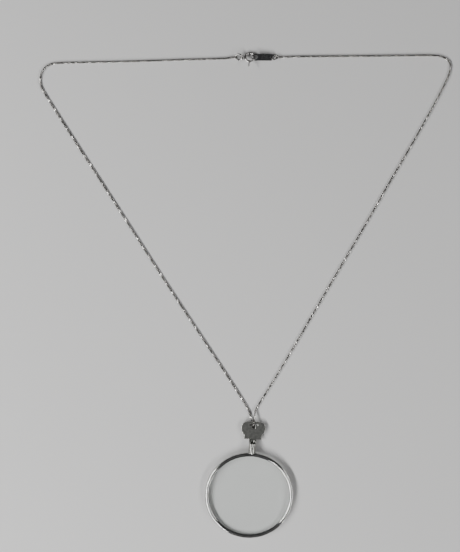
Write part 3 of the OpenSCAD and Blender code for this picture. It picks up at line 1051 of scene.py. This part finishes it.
@dataclass
class Fastening:
    """The spring ring clasp, its bolt and the end plate."""

    at: tuple[float, float, float]
    clasp_roll: float = -25.0
    clasp_mid_r: float = 2.2
    tube_r: float = 0.55
    bore_r: float = 0.35
    gap_start: float = -80.0
    gap_end: float = -38.0
    bolt_travel: float = 48.0
    bolt_r: float = 0.3
    bolt_tip: float = -32.0
    bolt_len: float = 118.0
    bolt_edge: float = 0.12
    trigger_at: float = -97.0
    trigger_r: float = 0.25
    pin_edge: float = 0.02
    slot_half_w: float = 0.3
    knob_r: float = 0.4
    knob_at: float = 4.55
    loop_mid_r: float = 0.8
    loop_wire_r: float = 0.225
    loop_x: float = -3.625
    plate_t: float = 0.35
    plate_w: float = 3.3
    plate_span: float = 8.05
    clasp_hole_r: float = 1.2
    ring_hole_r: float = 0.65
    plate_edge: float = 0.45
    plate_edge_r: float = 0.12
    plate_worn: float = 0.3
    plate_roll: float = 22.0
    hook_play: tuple[float, float, float] = (0.25, 0.0, -0.05)
    plate_join: float = 0.6
    end_step: float = 5.0
    side_step: float = 0.3
    join_step: float = 0.15
    plate_rows: int = 6
    table_gap: float = 0.02
    tube_steps: tuple[int, int, int] = (58, 19, 5)
    slot_columns: int = 6
    tube_columns: int = 22
    tube_edge: float = 0.03
    loop_steps: int = 48
    bolt_steps: int = 40
    pin_sides: int = 20

    def clasp_height(self) -> float:
        """Height of the clasp's middle, so that its lowest side rests on the floor."""
        return self.clasp_mid_r * math.sin(math.radians(-self.clasp_roll)) + self.tube_r

    def near(self, at: Sequence[float], roll: float, pitch: float) -> Pose:
        """The pose of a piece at a point that is measured from the fastening's own."""
        place = tuple(a + b for a, b in zip(self.at, at))
        return Pose(roll=roll, pitch=pitch, at=place)

    def clasp_pose(self) -> Pose:
        """Where the clasp lies."""
        return self.near((0, 0, self.clasp_height()), self.clasp_roll, 0)

    def tube_form(self) -> Form:
        """The hollow ring: a circle carried round Z, with faces left out where the trigger slides."""
        wall_r = (self.tube_r + self.bore_r) / 2
        spare = math.degrees(math.asin(self.slot_half_w / self.clasp_mid_r))
        slot_start = 360 + self.trigger_at - self.bolt_travel - spare
        slot_end = 360 + self.trigger_at + spare
        before, beside, after = self.tube_steps
        around = np.radians(np.concatenate([
            np.linspace(self.gap_end, slot_start, before)[:-1],
            np.linspace(slot_start, slot_end, beside)[:-1],
            np.linspace(slot_end, 360 + self.gap_start, after),
        ]))
        half_slot = math.asin(self.slot_half_w / wall_r)
        section = np.concatenate([
            np.linspace(-half_slot, half_slot, self.slot_columns + 1)[:-1],
            np.linspace(half_slot, 2 * np.pi - half_slot, self.tube_columns)[:-1],
        ])
        r = self.clasp_mid_r + wall_r * np.cos(section)[None]
        height = wall_r * np.sin(section)[None] + 0 * around[:, None]
        points = np.dstack([r * np.cos(around)[:, None], r * np.sin(around)[:, None], height])
        form = grid_form(points, loop=True)
        middle = np.degrees((around[:-1] + around[1:]) / 2)[:, None]
        column = np.arange(len(section))[None]
        solid = ~((middle > slot_start) & (middle < slot_end) & (column < self.slot_columns))
        return Form(form.points, form.faces[solid.ravel()])

    def loop_form(self) -> Form:
        """The clasp's fixed loop."""
        ring = wire_arc(self.loop_mid_r, self.loop_wire_r, 0, 360, 0.0, self.loop_steps)
        return ring.placed(Pose(at=(self.loop_x, 0, 0)))

    def bolt_form(self) -> Form:
        """The curved bolt with its trigger: a pin straight out from it, and a round end."""
        ends = (self.bolt_tip - self.bolt_len, self.bolt_tip)
        curved = wire_arc(self.clasp_mid_r, self.bolt_r, *ends, self.bolt_edge, self.bolt_steps)
        pin = rod(self.trigger_r, self.clasp_mid_r, self.knob_at, self.pin_edge, self.pin_sides)
        knob = ball(self.knob_r, (self.knob_at, 0, 0))
        return curved + (pin + knob).placed(Pose(turn=self.trigger_at))

    def plate_pose(self) -> Pose:
        """Where the end plate hangs: hooked on the clasp, with its right lower edge just above the floor."""
        hook = np.array([self.clasp_mid_r, 0, self.clasp_height()]) + np.array(self.hook_play)
        rise = self.plate_w / 2 * math.sin(math.radians(self.plate_roll))
        low = rise + self.plate_t / 2 + self.table_gap
        pitch = math.degrees(math.asin((hook[2] - low) / self.plate_span))
        return self.near(tuple(hook), self.plate_roll, pitch)

    def plate_half(self, way: int, end: float, middle: float, hole_x: float, hole_r: float) -> Form:
        """One half of the end plate's middle surface, as a collar round its hole.

        Args:
            way: 1 for the left half and -1 for the right one.
            end: X of the middle of its round end.
            middle: X at which the halves meet.
            hole_x: X of the hole's middle.
            hole_r: Radius of the hole.

        Returns:
            The flat surface.
        """
        half = self.plate_w / 2
        low, high = -way * half, way * half
        outline = chained(
            arc((end, 0), half, 90 * way, 90 * way + 180, self.end_step),
            line((end, low), (middle, low), self.side_step),
            line((middle, low), (middle, high), self.join_step),
            line((middle, high), (end, high), self.side_step),
        )
        size = (self.plate_edge_r, self.plate_rows)
        grid = collar(outline, (hole_x, 0.0), lambda angle: np.full_like(angle, hole_r), *size)
        return grid_form(np.dstack([grid, 0 * grid[..., :1]]), loop=True)

    def plate_form(self) -> Form:
        """The end plate's middle surface: two collars, one round each hole, joined across the middle."""
        half = self.plate_w / 2
        left_end = half - self.plate_edge - self.clasp_hole_r
        right_end = self.plate_span + self.plate_edge + self.ring_hole_r - half
        middle = (left_end + right_end) / 2 + self.plate_join
        left = self.plate_half(1, left_end, middle, 0.0, self.clasp_hole_r)
        return left + self.plate_half(-1, right_end, middle, self.plate_span, self.ring_hole_r)

    def build(self) -> None:
        """Makes the fastening's pieces."""
        metal, pose = CLASP_METAL.material(), self.clasp_pose()
        tube = add_piece("clasp_ring", self.tube_form().placed(pose), metal, "clasp_body")
        thicken(tube, self.tube_r - self.bore_r)
        round_edges(tube, self.tube_edge)
        add_piece("clasp_loop", self.loop_form().placed(pose), metal, "clasp_body")
        bolt, name = self.bolt_form().placed(pose), "clasp_bolt_and_trigger"
        add_piece(name, bolt, metal, "clasp_bolt", Body.BOLT, SHARP_WIRE)
        size = (self.plate_t, self.plate_edge_r, self.plate_worn)
        sheet = thick_sheet(self.plate_form(), *size, lambda points: 0 * points + [0.0, 0.0, 1.0])
        plate, metal = sheet.placed(self.plate_pose()), PLATE_METAL.material()
        add_piece("plate", plate, metal, "end_plate", sharp=SHARP_SHEET)


# Route of the chain's two strands: X and Y from the turn, and the height as a share of the way up
LEFT_STRAND = (
    (-12.6, 178.6, 0), (-16.2, 178.4, 0), (-22.2, 178.2, 0), (-32.2, 178, 0),
    (-42.7, 177.6, 0), (-53.2, 177.3, 0), (-63.2, 177, 0), (-73.7, 176.8, 0),
    (-84.2, 176.6, 0), (-94.2, 176.4, 0), (-97.6, 176, 0), (-100.4, 174.7, 0),
    (-102.4, 172, 0), (-103.2, 168.6, 0), (-102.9, 165.5, 0), (-101.5, 162.6, 0),
    (-95.7, 153.2, 0), (-89.7, 143.7, 0), (-83.6, 134, 0), (-77.4, 124.4, 0),
    (-71.3, 114.7, 0), (-65.1, 104.9, 0), (-58.9, 95.1, 0), (-52.7, 85.2, 0),
    (-46.5, 75.4, 0), (-40.1, 65.4, 0), (-33.7, 55.5, 0), (-27.3, 45.7, 0),
    (-20.8, 35.7, 0), (-14.3, 25.7, 0), (-7.8, 15.5, 0), (-3.6, 8.7, 0),
    (-2.1, 5.6, 0), (-1.3, 2.9, 0), (-0.8, 1.3, 0),
)
RIGHT_STRAND = (
    (0.2, 1.4, 1), (0.3, 2.7, 0.88), (0.4, 4.1, 0.62), (0.6, 5.5, 0.33),
    (1, 6.8, 0.12), (1.7, 8.3, 0.02), (3.3, 10.9, 0), (7.3, 17.3, 0),
    (13.2, 27.3, 0), (19.2, 37.5, 0), (25, 47.7, 0), (30.8, 57.9, 0),
    (36.6, 68, 0), (42.4, 78.1, 0), (48.2, 88.1, 0), (53.9, 98.1, 0),
    (59.5, 108.1, 0), (65.1, 118.2, 0), (70.8, 128.1, 0), (76.5, 138, 0),
    (82, 147.9, 0), (87.4, 157.8, 0), (91.9, 166.9, 0), (93.6, 170.9, 0),
    (94.3, 174.1, 0), (93.9, 176.7, 0), (92.2, 178.6, 0), (89.4, 179.6, 0),
    (86.2, 180, 0), (79.3, 180, 0), (72.3, 179.9, 0), (58.8, 179.7, 0),
    (44.8, 179.6, 0), (31.3, 179.5, 0), (19.8, 179.4, 0),
)


@dataclass
class TwistedChain:
    """Small oval links, each turned a little further than the last, along the chain's route."""

    pose: Pose
    left_x: float
    right_x: float
    ends_y: float
    end_room: float = 0.12
    turn_y: float = 36.375
    turn_x: float = 0.2
    turn_z: float = -1.375
    turn_r: float = 0.975
    turn_points: int = 7
    turn_reach: float = 9.0
    lying_z: float = 0.5
    route_steps: int = 240
    pitch: float = 0.7
    half_length: float = 0.53
    half_width: float = 0.36
    bend: float = -0.1
    wire_half_w: float = 0.165
    wire_half_t: float = 0.125
    flat_share: float = 0.6
    roll: float = 52.0
    link_steps: int = 10
    hook_size: float = 1.25
    hook_reach: float = 0.62
    left_roll: float = 55.0
    right_roll: float = 128.0

    def route(self) -> tuple[Array, int]:
        """The route's chosen points from the left end to the right, and how many lie before the turn."""
        a = np.radians(np.linspace(-90, 90, self.turn_points))
        turn = np.stack([
            self.turn_x * np.sin(a),
            self.turn_y - self.turn_r * np.cos(a),
            self.turn_z + self.turn_r * np.sin(a),
        ], axis=1)
        turn = self.pose.place(turn)
        start = self.pose.place(np.array([[0.0, self.turn_y, self.turn_z]]))[0]
        over = turn[-1, 2]
        strands = [
            np.array(points) * [1, 1, over - self.lying_z] + [start[0], start[1], self.lying_z]
            for points in (LEFT_STRAND, RIGHT_STRAND)
        ]
        left_end = [self.left_x - self.end_room, self.ends_y, self.lying_z]
        right_end = [self.right_x + self.end_room, self.ends_y, self.lying_z]
        points = np.vstack([left_end, strands[0], turn, strands[1], right_end])
        return points, len(strands[0]) + 1 + len(turn) // 2

    def smooth_route(self) -> tuple[Array, Array, Array, Array]:
        """The route as one smooth curve, stretched out at its ends to reach through the end links.

        It is the uniform cubic B-spline of the chosen points. Its side is level along the strands and
        across the turn, and its up is square to both.

        Returns:
            The distance along it, its points, its sides and its ups.
        """
        points, turn_at = self.route()
        out_left = unit(points[0] - points[1]) * self.hook_reach
        out_right = unit(points[-1] - points[-2]) * self.hook_reach
        ends = np.vstack([points[0] + out_left, points, points[-1] + out_right])
        padded = np.vstack([2 * ends[0] - ends[1], ends, 2 * ends[-1] - ends[-2]])
        u = np.linspace(0, 1, self.route_steps, endpoint=False)[None, :, None]
        p = [padded[k : len(padded) - 3 + k, None, :] for k in range(4)]
        curve = (
            (1 - u) ** 3 * p[0]
            + (3 * u**3 - 6 * u**2 + 4) * p[1]
            + (-3 * u**3 + 3 * u**2 + 3 * u + 1) * p[2]
            + u**3 * p[3]
        ) / 6
        path = np.vstack([curve.reshape(-1, 3), ends[-1:]])
        tangent = unit(np.gradient(path, axis=0))
        level = unit(np.cross([0.0, 0.0, 1.0], tangent) + TINY)
        first_half = np.arange(len(path)) < (turn_at + 1) * u.shape[1]
        level = np.where(first_half[:, None], level, -level)
        sideways = unit(np.array([1.0, 0.0, 0.0]) - tangent[:, :1] * tangent)
        turn_middle = self.pose.place(np.array([0.0, self.turn_y, self.turn_z]))
        near_turn = np.linalg.norm(path - turn_middle, axis=1) < self.turn_reach
        side = np.where(near_turn[:, None], sideways, level)
        gaps = np.linalg.norm(np.diff(path, axis=0), axis=1)
        along = np.concatenate([[0.0], np.cumsum(gaps)])
        return along, path, side, np.cross(tangent, side)

    def link_line(self) -> tuple[Array, Array]:
        """Middle line of one link and its directions.

        The line is an oval, half_length times the cosine and half_width times the sine, which bends
        out of its plane by bend times the sine of twice the angle.

        Returns:
            Its points, and for each of them two directions square to it.
        """
        t = 2 * np.pi * np.arange(self.link_steps) / self.link_steps
        points = np.stack([
            self.half_length * np.cos(t), self.half_width * np.sin(t), self.bend * np.sin(2 * t)
        ], axis=1)
        tangent = unit(np.stack([
            -self.half_length * np.sin(t), self.half_width * np.cos(t), 2 * self.bend * np.cos(2 * t)
        ], axis=1))
        out = unit(np.cross(tangent, [0.0, 0.0, 1.0]))
        return points, np.stack([out, np.cross(tangent, out)])

    def wire_section(self) -> Array:
        """The link's wire, hammered flat on both faces: six corners, two of them at its sides."""
        w, t, flat = self.wire_half_w, self.wire_half_t, self.wire_half_w * self.flat_share
        return np.array([(w, 0), (flat, t), (-flat, t), (-w, 0), (-flat, -t), (flat, -t)])

    def form(self) -> Form:
        """All links as one surface, worked out along a straight line and then carried along the route."""
        along, path, side, up = self.smooth_route()
        middle, (out, over) = self.link_line()
        wire = self.wire_section()
        link = middle[:, None] + wire[None, :, :1] * out[:, None] + wire[None, :, 1:] * over[:, None]
        link = link.reshape(-1, 3)
        ends = self.hook_size * (self.half_length + self.wire_half_w)
        length = along[-1] - 2 * ends
        count = int(round(length / self.pitch)) + 1
        turns = round((count * self.roll - self.right_roll + self.left_roll) / 180) * 180
        whole = turns + self.right_roll - self.left_roll
        roll = np.radians(self.left_roll + whole * np.arange(count) / (count - 1))[:, None]
        size = np.ones((count, 1))
        size[[0, -1]] = self.hook_size
        x = ends + length * np.arange(count)[:, None] / (count - 1) + size * link[None, :, 0]
        y, z = size * link[None, :, 1], size * link[None, :, 2]
        right = (y * np.cos(roll) - z * np.sin(roll)).ravel()
        high = (y * np.sin(roll) + z * np.cos(roll)).ravel()
        x = x.ravel()
        points = sum(
            weight[:, None] * np.stack([np.interp(x, along, part[:, k]) for k in range(3)], axis=1)
            for weight, part in ((np.ones_like(x), path), (right, side), (high, up))
        )
        faces = grid_faces(len(middle), len(wire), loop_rows=True, loop_columns=True)
        faces = faces + (len(link) * np.arange(count))[:, None, None]
        return Form(points, faces.reshape(-1, 4))

    def build(self) -> None:
        """Makes the chain."""
        metal = CHAIN_METAL.material()
        add_piece("twisted_chain", self.form(), metal, "chain", sharp=SHARP_WIRE)


@dataclass(frozen=True)
class Softbox:
    """A rectangular light.

    Its bearing on the floor is in degrees from +X, its rise is the angle above the floor, its
    distance and its size are in millimetres, and its power is in watts.
    """

    name: str
    bearing: float
    rise: float
    away: float
    size: tuple[float, float]
    power: float

    def build(self, middle: Array) -> None:
        """Adds the light, facing the middle."""
        a, e = math.radians(self.bearing), math.radians(self.rise)
        out = np.array([math.cos(a) * math.cos(e), math.sin(a) * math.cos(e), math.sin(e)])
        data = bpy.data.lights.new(self.name, "AREA")
        data.shape = "RECTANGLE"
        data.size, data.size_y = self.size[0] * MM, self.size[1] * MM
        data.energy = self.power
        light = link_object(self.name, data)
        aim_object(light, middle + self.away * out, middle, np.array([0.0, 0.0, 1.0]))


@dataclass
class Studio:
    """Pale floor, soft lights and the camera."""

    floor_half: float = 4000.0
    floor_points: int = 5
    softboxes: tuple[Softbox, ...] = (
        Softbox("window_left", 206, 40, 900, (1500, 110), 10),
        Softbox("window_right", -22, 36, 1000, (1300, 100), 3.5),
        Softbox("ceiling", 268, 71, 1200, (600, 600), 0.12),
    )
    middle: tuple[float, float, float] = (0.0, 100.0, 0.0)
    camera_at: tuple[float, float, float] = (-9.55, 183.28, 645.82)
    camera_aim: tuple[float, float, float] = (-9.55, 109.7, 0.0)
    focal: float = 86.6
    sensor: float = 36.0
    nearest: float = 10.0
    world: Colour = (0.075, 0.076, 0.079)

    def floor(self) -> None:
        """Makes the floor."""
        x = np.linspace(-self.floor_half, self.floor_half, self.floor_points)
        x, y = np.meshgrid(x, x)
        floor = make_object("floor", grid_form(np.dstack([x, y, 0 * x])), FloorFinish().material())

    def lights(self) -> None:
        """Sets how light is shown, the world's even light and the softboxes."""
        view = bpy.context.scene.view_settings
        view.view_transform = "AgX"
        view.look = "AgX - Medium High Contrast"
        world = bpy.data.worlds.new("studio")
        world.use_nodes = True
        world.node_tree.nodes["Background"].inputs["Color"].default_value = rgba(self.world)
        bpy.context.scene.world = world
        for softbox in self.softboxes:
            softbox.build(np.array(self.middle))

    def camera(self) -> None:
        """Sets the camera where the photograph was taken from."""
        data = bpy.data.cameras.new("camera")
        data.lens = self.focal
        data.sensor_width = self.sensor
        data.clip_start = self.nearest * MM
        camera = link_object("camera", data)
        aim_object(camera, np.array(self.camera_at), np.array(self.camera_aim), np.array([0.0, 1.0, 0.0]))
        bpy.context.scene.camera = camera

    def build(self) -> None:
        """Makes the studio."""
        self.floor()
        self.lights()
        self.camera()


def aim_object(thing: bpy.types.Object, at: Array, aim: Array, up: Array) -> None:
    """Puts a light or camera at a point, looking at another, with its top towards up."""
    back = unit(at - aim)
    right = unit(np.cross(up, back))
    top = np.cross(back, right)
    matrix = np.eye(4)
    matrix[:3, 0], matrix[:3, 1], matrix[:3, 2] = right, top, back
    matrix[:3, 3] = at * MM
    thing.matrix_world = Matrix(matrix.tolist())


def pendant_pose() -> Pose:
    """How the pendant lies: on the far edge of its rim, and over the chain under the key's bow.

    At the chain's turn the bow's lower face is held up by the chain's thickness and a little room, and
    the rim's far edge lies at 0. The slope between the two gives the tilt.
    """
    chain_d, room = 1.0, 0.15
    mid_r, wire_r = Magnifier.rim_mid_r, Magnifier.wire_r
    slope = (chain_d + room + KeyBow.barrel_r - wire_r) / (TwistedChain.turn_y + mid_r)
    return Pose(roll=math.degrees(math.asin(slope)), turn=-3.4, at=(0.0, 0.0, wire_r + mid_r * slope))


def clear_start() -> None:
    """Removes the objects that Blender's own start file may hold."""
    for thing in list(bpy.data.objects):
        bpy.data.objects.remove(thing, do_unlink=True)


def main() -> None:
    """Dresses the frame and sets the studio."""
    logging.basicConfig(level=logging.INFO, format="%(message)s")
    clear_start()
    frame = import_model()
    pendant = pendant_pose()
    Studio().build()
    hinge = frame["joints"][0]["pos_m"]
    fastening = (hinge[0] / MM, hinge[1] / MM, 0.0)
    left_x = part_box("end_link_left")[0][0] / MM
    right_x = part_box("end_link_right")[1][0] / MM
    TwistedChain(pendant, left_x, right_x, ends_y=fastening[1]).build()
    Magnifier(pendant).build()
    KeyBow(pendant).build()
    Fastening(fastening).build()
    chain_metal, ring_metal = bpy.data.materials[CHAIN_METAL.name], RING_METAL.material()
    for side in ("left", "right"):
        frame["nodes"][f"end_link_{side}"].material_slots[0].material = chain_metal
        frame["nodes"][f"jump_ring_{side}"].material_slots[0].material = ring_metal


if __name__ == "__main__":
    main()
